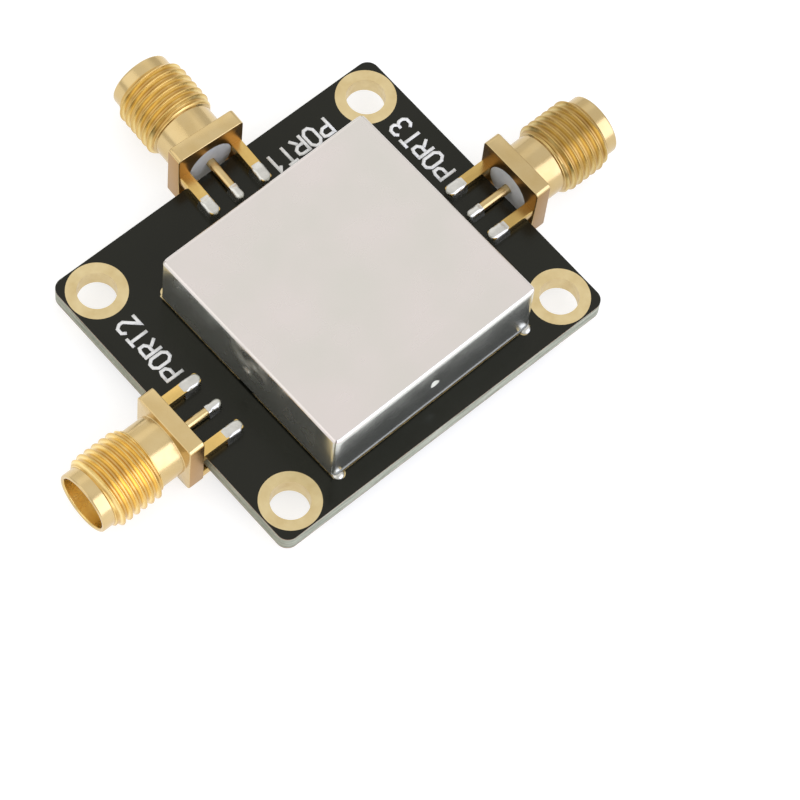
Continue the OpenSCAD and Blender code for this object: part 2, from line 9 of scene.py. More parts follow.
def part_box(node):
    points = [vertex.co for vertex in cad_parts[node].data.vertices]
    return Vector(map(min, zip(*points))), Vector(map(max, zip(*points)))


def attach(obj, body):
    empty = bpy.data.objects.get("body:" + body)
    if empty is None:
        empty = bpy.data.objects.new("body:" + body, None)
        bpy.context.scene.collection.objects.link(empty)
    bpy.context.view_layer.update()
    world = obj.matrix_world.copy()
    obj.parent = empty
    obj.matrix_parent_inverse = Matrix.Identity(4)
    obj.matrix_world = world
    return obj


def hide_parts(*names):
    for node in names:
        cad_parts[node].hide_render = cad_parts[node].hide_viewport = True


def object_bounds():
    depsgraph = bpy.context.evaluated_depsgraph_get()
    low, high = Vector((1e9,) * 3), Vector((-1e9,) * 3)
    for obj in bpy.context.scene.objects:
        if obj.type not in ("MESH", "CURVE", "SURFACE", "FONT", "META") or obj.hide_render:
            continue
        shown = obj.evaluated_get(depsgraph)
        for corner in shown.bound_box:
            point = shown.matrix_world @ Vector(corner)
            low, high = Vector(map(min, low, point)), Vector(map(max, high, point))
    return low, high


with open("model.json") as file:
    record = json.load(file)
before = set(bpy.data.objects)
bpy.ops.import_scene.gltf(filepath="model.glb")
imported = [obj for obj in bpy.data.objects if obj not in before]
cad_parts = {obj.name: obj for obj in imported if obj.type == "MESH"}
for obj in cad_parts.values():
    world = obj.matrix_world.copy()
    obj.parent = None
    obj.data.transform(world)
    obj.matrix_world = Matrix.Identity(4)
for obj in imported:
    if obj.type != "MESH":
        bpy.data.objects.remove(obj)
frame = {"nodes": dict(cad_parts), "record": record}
cad_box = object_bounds()

# Board core: a sheet of woven glass in epoxy, routed to its outline and drilled at the corners.
# Its cut edge shows the pale plies between the two black faces, and it carries all other
# pieces.
MM = 0.001


def inlet(finish, name):
    """One of the inputs of a material's shader"""
    return finish.node_tree.nodes["Principled BSDF"].inputs[name]


def new_finish(name, metallic):
    """Makes a material, metallic or not, that is to be painted and dulled by fields"""
    finish = bpy.data.materials.new(name)
    finish.use_nodes = True
    inlet(finish, "Metallic").default_value = metallic
    return finish


def add(finish, kind, **inputs):
    """Adds a node to a material and joins or sets its inputs"""
    node = finish.node_tree.nodes.new(kind)
    for name, value in inputs.items():
        socket = node.inputs[name.replace("_", " ")]
        if isinstance(value, bpy.types.NodeSocket):
            finish.node_tree.links.new(value, socket)
        else:
            socket.default_value = value
    return node


def own_place(finish):
    """The place of the shaded point on the piece"""
    return add(finish, "ShaderNodeTexCoord").outputs["Object"]


def cloud(finish, size, detail=3, stretch=(1, 1, 1)):
    """Noise from 0 to 1 with spots of about size millimetres, longer along an axis by its stretch"""
    spread = add(
        finish,
        "ShaderNodeMapping",
        Vector=own_place(finish),
        Scale=[1 / (size * MM * s) for s in stretch],
    )
    field = add(finish, "ShaderNodeTexNoise", Vector=spread.outputs[0], Scale=1, Detail=detail)
    return field.outputs["Fac"]


def ramped(finish, field, low, high, start=0.3, end=0.7):
    """Turns a field into numbers that run from low to high between two of its values"""
    node = add(
        finish,
        "ShaderNodeMapRange",
        Value=field,
        From_Min=start,
        From_Max=end,
        To_Min=low,
        To_Max=high,
    )
    return node.outputs["Result"]


def paint(finish, field, *stops):
    """Colours the surface by a field, through stops of place and colour"""
    ramp = add(finish, "ShaderNodeValToRGB", Fac=field)
    marks = ramp.color_ramp.elements
    while len(marks) < len(stops):
        marks.new(0.5)
    for mark, (place, colour) in zip(marks, stops):
        mark.position = place
        mark.color = (*colour, 1)
    finish.node_tree.links.new(ramp.outputs["Color"], inlet(finish, "Base Color"))


def dull(finish, field, low, high, start=0.3, end=0.7):
    """Lets the roughness run from low to high with a field"""
    roughness = ramped(finish, field, low, high, start, end)
    finish.node_tree.links.new(roughness, inlet(finish, "Roughness"))


def relief(finish, field, depth):
    """Raises the surface by depth millimetres where a field is 1, on top of earlier relief"""
    bump = add(finish, "ShaderNodeBump", Height=field, Strength=1, Distance=depth * MM)
    normal = inlet(finish, "Normal")
    for link in list(normal.links):
        finish.node_tree.links.new(link.from_socket, bump.inputs["Normal"])
    finish.node_tree.links.new(bump.outputs["Normal"], normal)


def dress(finish, *names):
    """Gives a finish to pieces that keep the shape they come with"""
    for name in names:
        for slot in frame["nodes"][name].material_slots:
            slot.material = finish


laminate = new_finish("laminate_finish", 0)
plies = cloud(laminate, 0.16, 2, (14, 14, 1))
paint(
    laminate,
    plies,
    (0.3, (0.23, 0.25, 0.18)),
    (0.55, (0.42, 0.44, 0.34)),
    (0.75, (0.56, 0.57, 0.46)),
)
dull(laminate, cloud(laminate, 0.3), 0.4, 0.7)
relief(laminate, plies, 0.03)
relief(laminate, cloud(laminate, 0.08), 0.015)
dress(laminate, "board_core")

# Copper foil on both faces of the core, etched into the ground and the lines to the circuit.
# The mask covers it; only its thin edge shows at the outline and in the drilled holes.
foil = new_finish("foil_finish", 1)
tarnish = cloud(foil, 0.8)
paint(foil, tarnish, (0.3, (0.55, 0.25, 0.13)), (0.7, (0.78, 0.43, 0.26)))
dull(foil, tarnish, 0.25, 0.5)
relief(foil, cloud(foil, 0.05), 0.004)
dress(foil, "top_copper", "bottom_copper")

# Solder mask: black photo-cured lacquer, screened over the copper and open at the pads.
# It is smooth and glossy, with the fine unevenness of lacquer that flowed before it set.
mask = new_finish("mask_finish", 0)
inlet(mask, "IOR").default_value = 1.37
inlet(mask, "Specular Tint").default_value = (1, 1, 0.88, 1)
veil = cloud(mask, 7, 2)
paint(mask, veil, (0.25, (0.0044, 0.0046, 0.003)), (0.75, (0.007, 0.0072, 0.0048)))
dull(mask, cloud(mask, 1.5), 0.16, 0.24)
relief(mask, cloud(mask, 1.1, 2), 0.004)
relief(mask, cloud(mask, 0.09, 1), 0.0006)
dress(mask, "top_mask", "bottom_mask")

# Pads and hole rings: the copper that the mask leaves bare, plated with nickel and a flash of
# gold. The finish is satin and pale, and slightly grained like the copper under it.
pad_gold = new_finish("pad_finish", 1)
blush = cloud(pad_gold, 1.2)
paint(pad_gold, blush, (0.3, (0.68, 0.53, 0.27)), (0.7, (0.78, 0.64, 0.36)))
dull(pad_gold, cloud(pad_gold, 0.4), 0.3, 0.46)
relief(pad_gold, cloud(pad_gold, 0.06), 0.003)
relief(pad_gold, cloud(pad_gold, 0.6), 0.01)
dress(pad_gold, "top_pads", "bottom_pads", "hole_liners")

# Jack bodies: brass, turned and threaded at the barrel, milled at the flange and the four legs
# that straddle the board, then plated with gold. Each is one piece, soldered by its legs. The
# output jack's gold is made the darkest, and the input jack's lies between it and the oscillator's.
# The gold carries painted light in the mouth and on the thread's flanks, and painted shade at the
# thread's roots and on the flange's sides and rear face.
board_top = 1.6
axis_z = 2.0
flange_back = 0.5
flange_front = 1.95
flange_w = 6.35
flange_corner = 0.4
flange_edge = 0.09
neck_r = 2.65
neck_end = 4.15
neck_fillet = 0.14
neck_rise = 0.02
thread_r = 3.1748
thread_root_r = 2.793
thread_pitch = 0.7056
thread_crest = 0.088
thread_flank = math.radians(30)
thread_round = 0.04
thread_start = 4.28
thread_end = 8.8
thread_gap = 0.06
thread_lead = 1.6
thread_steps = 96
chamfer_rings = (0.1, 0.2, 0.3)
lip_start = 8.85
lip_r = 2.65
lip_round = 0.25
mouth_x = 9.95
mouth_ease = 0.005
mouth_r = 2.3
shoulder_x = 8.0
ring_step = 0.09
ring_slope = 0.02
insulator_r = 2.05
leg_tip = -3.65
leg_pitch = 5.08
leg_w = 0.95
leg_bevel = 0.2
leg_edge = 0.07
upper_leg = (board_top, 2.55)
lower_leg = (-1.05, -0.1)
leg_root = 0.8
weld = 1e-4
slack = 0.02
parallel = 0.99
facing = 0.9
fold_angle = 1
# Colour numbers for the gold: the legs' deeper gold, painted light in the mouth, painted shade on the
# flange's sides and rear face, and on the thread a run from the crest through painted light on the
# flanks to painted shade at the root.
leg_tint = 0.3
mouth_painted_light = 0.5
side_painted_shade = 0.93
crest_tint = 0.25
root_painted_shade = 0.75
off_middle = (5 * MM, 10 * MM)
input_share = 0.35
output_loss = (0.15, 0.3)


def soften(outline, cut, steps=3):
    """Rounds the inner corners of an outline of (x, r) points, each within cut of the corner"""
    points = [Vector(p) for p in outline]
    soft = [points[0]]
    for before, corner, after in zip(points, points[1:], points[2:]):
        reach = min(cut, (corner - before).length / 2, (after - corner).length / 2)
        start = corner + (before - corner).normalized() * reach
        end = corner + (after - corner).normalized() * reach
        for i in range(steps + 1):
            t = i / steps
            soft.append(start.lerp(corner, t).lerp(corner.lerp(end, t), t))
    return soft + [points[-1]]


def wire(bm, points):
    """Joins points to one open line and returns its vertices and its edges"""
    verts = [bm.verts.new(p) for p in points]
    return verts, [bm.edges.new(pair) for pair in zip(verts, verts[1:])]


def lathe(bm, outline, steps=thread_steps):
    """Turns an outline of (x, r) points about the X axis"""
    verts, edges = wire(bm, [(x, 0, r) for x, r in outline])
    bmesh.ops.spin(
        bm,
        geom=verts + edges,
        cent=(0, 0, 0),
        axis=(1, 0, 0),
        dvec=(0, 0, 0),
        angle=math.tau,
        steps=steps,
        use_merge=True,
    )


def rims(bm, x):
    """The open edges that lie in the plane at x"""
    return [e for e in bm.edges if e.is_boundary and all(abs(v.co.x - x) < weld for v in e.verts)]


def slice_at(bm, x, side=0):
    """Cuts all faces at x, and clears what lies on one side of the cut"""
    bmesh.ops.bisect_plane(
        bm,
        geom=bm.verts[:] + bm.edges[:] + bm.faces[:],
        plane_co=(x, 0, 0),
        plane_no=(side or 1, 0, 0),
        clear_outer=side != 0,
    )


def cut_thread(bm):
    """Sweeps one pitch of the thread along its helix and trims and chamfers both ends"""
    depth = thread_r - thread_root_r
    flank = depth * math.tan(thread_flank)
    root = (thread_pitch - thread_crest - 2 * flank) / 2
    first = thread_start - thread_lead * thread_pitch
    turns = math.ceil((thread_end - thread_start) / thread_pitch) + 2
    section = soften(
        [
            (first, thread_root_r),
            (first + root, thread_root_r),
            (first + root + flank, thread_r),
            (first + root + flank + thread_crest, thread_r),
            (first + thread_pitch - root, thread_root_r),
            (first + thread_pitch, thread_root_r),
        ],
        thread_round,
    )
    verts, edges = wire(bm, [(x, 0, r) for x, r in section])
    bmesh.ops.spin(
        bm,
        geom=verts + edges,
        cent=(0, 0, 0),
        axis=(1, 0, 0),
        dvec=(thread_pitch / thread_steps, 0, 0),
        angle=math.tau * turns,
        steps=thread_steps * turns,
    )
    bmesh.ops.remove_doubles(bm, verts=bm.verts, dist=weld)
    for x, side in ((thread_start, -1), (thread_end, 1)):
        slice_at(bm, x, side)
        for ring in (*chamfer_rings, depth):
            slice_at(bm, x - side * ring)
    for v in bm.verts:
        r = math.hypot(v.co.y, v.co.z)
        limit = thread_root_r + max(0, min(v.co.x - thread_start, thread_end - v.co.x))
        if r > limit:
            v.co.yz = v.co.yz * (limit / r)
    bmesh.ops.remove_doubles(bm, verts=bm.verts, dist=weld)


def box_between(bm, low, high):
    """A box given by its lowest and highest corner"""
    made = bmesh.ops.create_cube(bm, size=1)["verts"]
    low, high = Vector(low), Vector(high)
    bmesh.ops.scale(bm, vec=high - low, verts=made)
    bmesh.ops.translate(bm, vec=(low + high) / 2, verts=made)
    return made


def edges_of(verts, wanted):
    """The edges of some vertices for which wanted says yes, in a fixed order"""
    found = dict.fromkeys(e for v in verts for e in v.link_edges)
    return [e for e in found if wanted(e)]


def round_edges(bm, edges, offset, segments):
    """Rounds edges with a row of that many faces"""
    bmesh.ops.bevel(
        bm, geom=edges, offset=offset, segments=segments, profile=0.5, affect="EDGES", material=-1
    )


def along(axis):
    """Says whether an edge runs along an axis"""
    return lambda e: abs((e.verts[1].co - e.verts[0].co).normalized()[axis]) > parallel


def flange_side(bm, x):
    """The flange's face in the plane at x, which alone has more than eight corners there"""
    return [f for f in bm.faces if len(f.verts) > 8 and all(abs(v.co.x - x) < weld for v in f.verts)]


def barrel_and_flange():
    """The body without its legs, about its own axis"""
    bm = bmesh.new()
    cut_thread(bm)
    lathe(
        bm,
        [(flange_front, neck_r + neck_fillet)]
        + soften(
            [
                (flange_front + neck_rise, neck_r + neck_fillet),
                (flange_front + neck_rise, neck_r),
                (neck_end, neck_r),
            ],
            neck_fillet,
            steps=5,
        )[1:]
        + [(thread_start - thread_gap, thread_root_r)],
    )
    lathe(
        bm,
        soften(
            [
                (lip_start, lip_r),
                (mouth_x - mouth_ease, lip_r),
                (mouth_x - mouth_ease, mouth_r),
                (shoulder_x - ring_step, mouth_r),
                (shoulder_x - ring_step, (mouth_r + insulator_r) / 2 + ring_slope),
                (shoulder_x, (mouth_r + insulator_r) / 2),
                (shoulder_x, insulator_r),
                (flange_back, insulator_r),
            ],
            lip_round,
            steps=6,
        ),
    )
    for one, other in ((thread_start - thread_gap, thread_start), (lip_start, thread_end)):
        bmesh.ops.bridge_loops(bm, edges=rims(bm, one) + rims(bm, other))
    half = flange_w / 2
    plate = box_between(bm, (flange_back, -half, -half), (flange_front, half, half))
    round_edges(bm, edges_of(plate, along(0)), flange_corner, segments=5)
    for x in (flange_back, flange_front):
        round_edges(bm, flange_side(bm, x)[0].edges[:], flange_edge, segments=3)
        bmesh.ops.delete(bm, geom=flange_side(bm, x), context="FACES_ONLY")
        bmesh.ops.triangle_fill(bm, edges=rims(bm, x), use_beauty=True, normal=(1, 0, 0))
    bmesh.ops.recalc_face_normals(bm, faces=bm.faces)
    return bm


def legs():
    """The four legs, from their roots in the flange to their bevelled tips"""
    bm = bmesh.new()
    for side in (-1, 1):
        for low, high in (upper_leg, lower_leg):
            y = side * leg_pitch / 2
            leg = box_between(
                bm,
                (leg_tip, y - leg_w / 2, low - axis_z),
                (leg_root, y + leg_w / 2, high - axis_z),
            )
            at_tip = [e for e in edges_of(leg, along(2)) if e.verts[0].co.x < 0]
            round_edges(bm, at_tip, leg_bevel, segments=3)
    tip = leg_tip + 2 * leg_bevel
    long = [e for e in bm.edges if along(0)(e) or max(v.co.x for v in e.verts) < tip]
    square = [e for e in long if len(e.link_faces) == 2 and e.calc_face_angle() > fold_angle]
    round_edges(bm, square, leg_edge, segments=2)
    bmesh.ops.recalc_face_normals(bm, faces=bm.faces)
    return bm


def note_depth(bm):
    """Notes a colour number per corner: 0 on plain turned faces and more on the legs, painted light in
    the mouth and on the thread's flanks, painted shade at the thread's roots and on the flange's sides
    and rear face
    """
    depth = bm.loops.layers.float.new("depth")
    for face in bm.faces:
        middle = face.calc_center_median()
        for corner in face.loops:
            at = corner.vert.co
            r = math.hypot(at.y, at.z)
            if r < mouth_r + slack and middle.x > flange_front:
                corner[depth] = mouth_painted_light
            elif middle.x < flange_back - slack:
                corner[depth] = leg_tint
            elif middle.x < flange_front and (abs(face.normal.y) > facing or face.normal.x < -facing):
                corner[depth] = side_painted_shade
            elif thread_start - slack < at.x < lip_start - slack and r > thread_root_r - slack:
                sunk = (thread_r - r) / (thread_r - thread_root_r)
                corner[depth] = crest_tint + (root_painted_shade - crest_tint) * sunk


def to_mesh(bm, name):
    """Turns a shape into a mesh and frees it"""
    mesh = bpy.data.meshes.new(name)
    bm.to_mesh(mesh)
    bm.free()
    return mesh


def combined(base, other, operation):
    """Joins two solids, or cuts the second out of the first"""
    pieces = [bpy.data.objects.new("stock", to_mesh(bm, "stock")) for bm in (base, other)]
    for piece in pieces:
        bpy.context.collection.objects.link(piece)
    modifier = pieces[0].modifiers.new("combine", "BOOLEAN")
    modifier.operation = operation
    modifier.solver = "EXACT"
    modifier.object = pieces[1]
    result = bmesh.new()
    result.from_object(pieces[0], bpy.context.evaluated_depsgraph_get())
    for piece in pieces:
        mesh = piece.data
        bpy.data.objects.remove(piece)
        bpy.data.meshes.remove(mesh)
    return result


def finished(bm, name, place, finish, sharp=32):
    """Makes a piece of a shape in millimetres, moved to its place on the module"""
    bmesh.ops.transform(bm, matrix=Matrix.Scale(MM, 4) @ place, verts=bm.verts)
    mesh = to_mesh(bm, name)
    mesh.materials.append(finish)
    mesh.shade_smooth()
    mesh.set_sharp_from_angle(angle=math.radians(sharp))
    piece = bpy.data.objects.new(name, mesh)
    bpy.context.collection.objects.link(piece)
    return piece


def reckon(finish, operation, first, second):
    """Works out one field from two, or from a field and a number"""
    node = add(finish, "ShaderNodeMath")
    node.operation = operation
    for socket, value in zip(node.inputs, (first, second)):
        if isinstance(value, bpy.types.NodeSocket):
            finish.node_tree.links.new(value, socket)
        else:
            socket.default_value = value
    return node.outputs[0]


def darken(finish, loss):
    """Takes a share of the colour's brightness away, by a field"""
    colour = inlet(finish, "Base Color")
    plain = colour.links[0].from_socket
    kept = reckon(finish, "SUBTRACT", 1, loss)
    darker = add(finish, "ShaderNodeHueSaturation", Color=plain, Value=kept)
    finish.node_tree.links.new(darker.outputs["Color"], colour)


def jack_place(mouth):
    """Moves a shape from the jack's own axes to the jack that has this mouth"""
    axis = Vector(mouth["axis"])
    centre = Vector(mouth["pos_m"]) / MM
    foot = centre - axis * (mouth_x + shoulder_x) / 2
    foot.z = 0
    return Matrix.Translation(foot) @ Matrix.Rotation(math.atan2(axis.y, axis.x), 4, "Z")


on_axis = Matrix.Translation((0, 0, axis_z))
mouths = [m for m in frame["record"]["mounts"] if m["kind"] == "bore"]
places = {m["name"].removesuffix("_mouth"): jack_place(m) for m in mouths}

jack_gold = new_finish("jack_finish", 1)
depth = add(jack_gold, "ShaderNodeAttribute")
depth.attribute_name = "depth"
patchy = ramped(jack_gold, cloud(jack_gold, 1.6), 0, 0.14)
bath = reckon(jack_gold, "ADD", depth.outputs["Fac"], patchy)
# The stops run from the pale gold of plain faces through the legs' deeper gold to the brightest gold,
# which is painted light in the mouth and on the thread's flanks, and on to dark brown, which is
# painted shade at the thread's roots and on the flange's sides and rear face. A cloud adds tone that
# differs at random.
paint(
    jack_gold,
    bath,
    (0, (0.7, 0.535, 0.275)),
    (0.14, (0.66, 0.485, 0.225)),
    (0.28, (0.7, 0.48, 0.16)),
    (0.4, (0.8, 0.54, 0.18)),
    (0.6, (0.99, 0.78, 0.34)),
    (0.8, (0.68, 0.44, 0.14)),
    (0.95, (0.5, 0.29, 0.1)),
)
dull(jack_gold, bath, 0.19, 0.34, 0, 1)
# The output jack's gold is darkened, and the input jack's by a share of that. Plain turned faces lose
# less brightness than the legs, mouth, thread and sides.
where = add(jack_gold, "ShaderNodeSeparateXYZ", Vector=own_place(jack_gold)).outputs
on_output_jack = ramped(jack_gold, where["X"], 0, 1, *off_middle)
on_input_jack = ramped(jack_gold, where["Y"], 0, input_share, *off_middle)
darker_jack_share = reckon(jack_gold, "MAXIMUM", on_output_jack, on_input_jack)
loss = ramped(jack_gold, depth.outputs["Fac"], *output_loss, 0, leg_tint)
darken(jack_gold, reckon(jack_gold, "MULTIPLY", darker_jack_share, loss))
relief(jack_gold, cloud(jack_gold, 0.07), 0.003)
relief(jack_gold, cloud(jack_gold, 0.9, 1), 0.006)

shell = combined(barrel_and_flange(), legs(), "UNION")
note_depth(shell)
for jack, place in places.items():
    body = finished(shell.copy(), jack + "_shell", place @ on_axis, jack_gold)
    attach(body, "root")
    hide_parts(jack + "_body")

# Jack insulators: white fluoropolymer rod, turned and pressed into the bore from behind. It is
# waxy, lets light in a little, and ends level with the shoulder that the plug meets.
tail_r = 0.4
socket_r = 0.635
contact_shoulder = 1.3
rod_ease = 0.005
rod_round = 0.05

fluoropolymer = new_finish("insulator_finish", 0)
inlet(fluoropolymer, "Subsurface Weight").default_value = 0.3
inlet(fluoropolymer, "Subsurface Radius").default_value = (0.6 * MM, 0.55 * MM, 0.5 * MM)
inlet(fluoropolymer, "Subsurface Scale").default_value = 1
# The white rod is painted a light bluish grey, as painted shade for its place behind the flange.
paint(fluoropolymer, cloud(fluoropolymer, 0.8), (0.3, (0.64, 0.65, 0.67)), (0.7, (0.72, 0.73, 0.75)))
dull(fluoropolymer, cloud(fluoropolymer, 0.2), 0.35, 0.5)
relief(fluoropolymer, cloud(fluoropolymer, 0.12, 2), 0.004)

for jack, place in places.items():
    shape = bmesh.new()
    lathe(
        shape,
        soften(
            [
                (contact_shoulder, tail_r),
                (flange_back, tail_r),
                (flange_back, insulator_r - rod_ease),
                (shoulder_x, insulator_r - rod_ease),
                (shoulder_x, socket_r),
                (contact_shoulder, socket_r),
                (contact_shoulder, tail_r),
            ],
            rod_round,
        ),
        steps=64,
    )
    bmesh.ops.remove_doubles(shape, verts=shape.verts, dist=weld)
    bmesh.ops.recalc_face_normals(shape, faces=shape.faces)
    insulator = finished(shape, jack + "_insulator_rod", place @ on_axis, fluoropolymer)
    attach(insulator, "root")
    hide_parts(jack + "_insulator")

# Jack contacts: gold-plated bronze, turned with a round tail that lies on the board and a bored
# socket in front, slotted so that its fingers grip the plug's pin.
socket_bore_r = 0.47
socket_depth = 2.6
slot_w = 0.18
slot_len = 1.8
contact_round = 0.06
nose_angles = [math.radians(15 * i) for i in range(1, 6)]

for jack, place in places.items():
    rod = bmesh.new()
    lathe(
        rod,
        [(leg_tip, 0)]
        + [(leg_tip + tail_r * (1 - math.cos(a)), tail_r * math.sin(a)) for a in nose_angles]
        + soften(
            [
                (leg_tip + tail_r, tail_r),
                (contact_shoulder, tail_r),
                (contact_shoulder, socket_r),
                (shoulder_x, socket_r),
                (shoulder_x, socket_bore_r),
                (shoulder_x - socket_depth, socket_bore_r),
                (shoulder_x - socket_depth - socket_bore_r / 2, 0),
            ],
            contact_round,
        ),
        steps=48,
    )
    bmesh.ops.remove_doubles(rod, verts=rod.verts, dist=weld)
    bmesh.ops.recalc_face_normals(rod, faces=rod.faces)
    slot = bmesh.new()
    box_between(slot, (shoulder_x - slot_len, -1, -slot_w / 2), (shoulder_x + 1, 1, slot_w / 2))
    contact = finished(combined(rod, slot, "DIFFERENCE"), jack + "_pin", place @ on_axis, jack_gold)
    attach(contact, "root")
    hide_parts(jack + "_contact")

# Solder on the jacks: tin solder that wetted the ends of the legs and the tail. It covers its pad
# with a round nose and a thin foot, stands smooth and full over the tip, and thins out behind.
pad_end = -1.95
tail_pad_end = -2.35
solder_over = 0.12
leg_solder_half = 0.595
tail_solder_half = 0.52
foot_over = 0.02
foot_h = 0.38
nose_r = 0.3
ripple_h = 0.03
ripple_full_h = 0.2
ripple_rate = Vector((1.3, 1.6, 1.6))
ripple_seed = 1
lower_gap = 0.1
finger_cells = (30, 24)
nose_crowding = 1.8
thin_from = 0.65
film_t = 0.01
rear_lean = 0.09
leg_squareness = 4
tail_squareness = 2.4
coarse_weld = 1e-3

solder = new_finish("solder_finish", 1)
frost = cloud(solder, 0.8, 2)
paint(solder, frost, (0.3, (0.58, 0.57, 0.535)), (0.7, (0.7, 0.69, 0.65)))
dull(solder, cloud(solder, 0.5, 2), 0.16, 0.3)
relief(solder, cloud(solder, 0.5, 2), 0.02)
relief(solder, cloud(solder, 0.12, 1), 0.0015)


def merge(bm, part):
    """Moves all of a part into a shape"""
    mesh = to_mesh(part, "part")
    bm.from_mesh(mesh)
    bpy.data.meshes.remove(mesh)


def solder_finger(bm, y, level, end, solder_half, core, squareness, down=False):
    """Solder round one leg: a grid wrapped over the leg's core, with its corners that square"""
    finger = bmesh.new()
    bmesh.ops.create_grid(finger, x_segments=finger_cells[0], y_segments=finger_cells[1], size=1)
    core_half, core_h = core
    start = leg_tip - solder_over
    length = end - start
    full_h = core_h + solder_over - ripple_h
    for v in finger.verts:
        d = length * ((v.co.x + 1) / 2) ** nose_crowding
        across = v.co.y * math.pi / 2
        nose = math.sqrt(max(0, 1 - max(0, 1 - d / solder_half) ** 2))
        crown = nose_r - math.sqrt(max(0, nose_r**2 - max(0, nose_r - d) ** 2))
        thin = max(0, d / length - thin_from) / (1 - thin_from)
        thin = thin * thin * (3 - 2 * thin)
        half = (solder_half * (1 - thin) + (core_half + film_t) * thin) * nose
        height = (full_h - crown) * (1 - thin) + (core_h + film_t) * thin
        power = 2 / (squareness * (1 + 1.2 * thin))
        side = math.copysign(abs(math.sin(across)) ** power, across) * half
        up = height * max(0, math.cos(across)) ** power
        if abs(v.co.y) > 1 - weld:
            up = 0
        foot = max(0, 1 - up / foot_h) ** 3
        reach = (solder_half + foot_over) * nose - abs(side)
        side += math.copysign(max(0, reach) * foot, side) if side else 0
        lean = rear_lean * (1 - up / full_h) * d / length
        along_x = start + d * (1 + lean) - foot_over * foot * (1 - nose)
        p = Vector((min(along_x, end + foot_over), side, up))
        ripple = noise.noise_vector(p * ripple_rate + Vector((3 * y, 0, 9 * down)))
        p += ripple_h * ripple * min(1, up / ripple_full_h) * (1 - 0.7 * thin)
        v.co = Vector((p.x, y + p.y, level - p.z if down else level + p.z))
    bmesh.ops.remove_doubles(finger, verts=finger.verts, dist=coarse_weld)
    bmesh.ops.holes_fill(finger, edges=[e for e in finger.edges if e.is_boundary], sides=0)
    bmesh.ops.triangulate(finger, faces=[f for f in finger.faces if len(f.verts) > 4])
    bmesh.ops.recalc_face_normals(finger, faces=finger.faces)
    merge(bm, finger)


leg_h = upper_leg[1] - upper_leg[0]
leg_core = (leg_w / 2, leg_h)
lower_core = (leg_w / 2, leg_h + lower_gap)
tail_core = (tail_r, 2 * tail_r)
noise.seed_set(ripple_seed)
for jack, place in places.items():
    shape = bmesh.new()
    for side in (-1, 1):
        y = side * leg_pitch / 2
        solder_finger(shape, y, board_top, pad_end, leg_solder_half, leg_core, leg_squareness)
        solder_finger(shape, y, 0, pad_end, leg_solder_half, lower_core, leg_squareness, down=True)
    solder_finger(shape, 0, board_top, tail_pad_end, tail_solder_half, tail_core, tail_squareness)
    joints = finished(shape, jack + "_joints", place, solder, sharp=60)
    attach(joints, "root")
    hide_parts(jack + "_solder")

# Shield frame: a strip of tinned sheet, folded to a square with a narrow rim and soldered to
# its ring of pad. The cover hides all of it but the foot, which lies in its shadow.
frame_tin = new_finish("frame_finish", 1)
dip = cloud(frame_tin, 1.5)
paint(frame_tin, dip, (0.3, (0.5, 0.5, 0.48)), (0.7, (0.68, 0.68, 0.66)))
dull(frame_tin, dip, 0.3, 0.5)
relief(frame_tin, cloud(frame_tin, 0.4), 0.008)
dress(frame_tin, "shield_frame")

# Diode ring: four diodes in one moulded package with four formed leads. The black compound
# is matt from the mould, and the leads are tinned.
compound = new_finish("compound_finish", 0)
paint(compound, cloud(compound, 0.3), (0.3, (0.022, 0.022, 0.024)), (0.7, (0.04, 0.04, 0.042)))
dull(compound, cloud(compound, 0.15), 0.45, 0.65)
relief(compound, cloud(compound, 0.05), 0.006)
dress(compound, "diode_quad")
dress(solder, "diode_quad_leads", "inner_solder")

# Transformer cores: ferrite powder pressed with two holes and fired, so the surface is grey,
# fine-grained and dry.
ferrite = new_finish("ferrite_finish", 0)
paint(ferrite, cloud(ferrite, 0.12), (0.3, (0.06, 0.06, 0.062)), (0.7, (0.13, 0.13, 0.13)))
dull(ferrite, cloud(ferrite, 0.3), 0.45, 0.75)
relief(ferrite, cloud(ferrite, 0.06, 4), 0.012)
dress(ferrite, "rf_balun_core", "lo_balun_core")

# Transformer windings: enamelled copper wire, wound by hand through both holes, with the
# enamel's clear gloss over the metal.
enamel = new_finish("enamel_finish", 1)
inlet(enamel, "Coat Weight").default_value = 0.8
inlet(enamel, "Coat Roughness").default_value = 0.08
paint(enamel, cloud(enamel, 0.7), (0.3, (0.45, 0.15, 0.05)), (0.7, (0.62, 0.25, 0.09)))
dull(enamel, cloud(enamel, 0.3), 0.22, 0.4)
relief(enamel, cloud(enamel, 0.1), 0.004)
dress(enamel, "rf_balun_winding", "lo_balun_winding")

# Shield cover: tinned steel sheet, blanked and folded over the frame's shape, with mitred seams
# at the corners and a pressed dimple in each side that snaps into a hole of the frame.
cover_low, cover_high = [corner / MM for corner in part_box("shield_cover")]
cover_turn = math.radians(0.7)
cover_x = 20.65
cover_y = 20.4
sheet_t = 0.2
bend_r = 0.32
bend_steps = 8
seam_w = 0.12
seam_opens = (0.1, 0.5)
corner_reach = 2
wall_cells = 12
flat_cells = 26
edge_columns = (0.06, 0.13, 0.21, 0.31, 0.43)
side_roll = (0.2, 0.04)
front_roll = (0.5, 0.14)
dimple_r = 0.52
dimple_depth = 0.2
dimple_z = 4.6
dimple_slope = 1.2
dimple_cuts = 5
dimple_cut_r = 1.1
sink_depth = 0.03
sink_r = 0.9
sink_reach = 2
lead_h = 0.2
lead_out = 0.1
lead_soft = 0.3
lead_rows = (0.185, 0.17, 0.155, 0.14, 0.1, 0.05, 0)
waviness = 0.02
wave_l = 5
wall_top = 7.2
scuff_at = (-10.4, -2.6, 6.2)
scuff_core_r = 0.3
scuff_r = 2.6
scuff_roughness = 0.35
front_gloss = 0.06


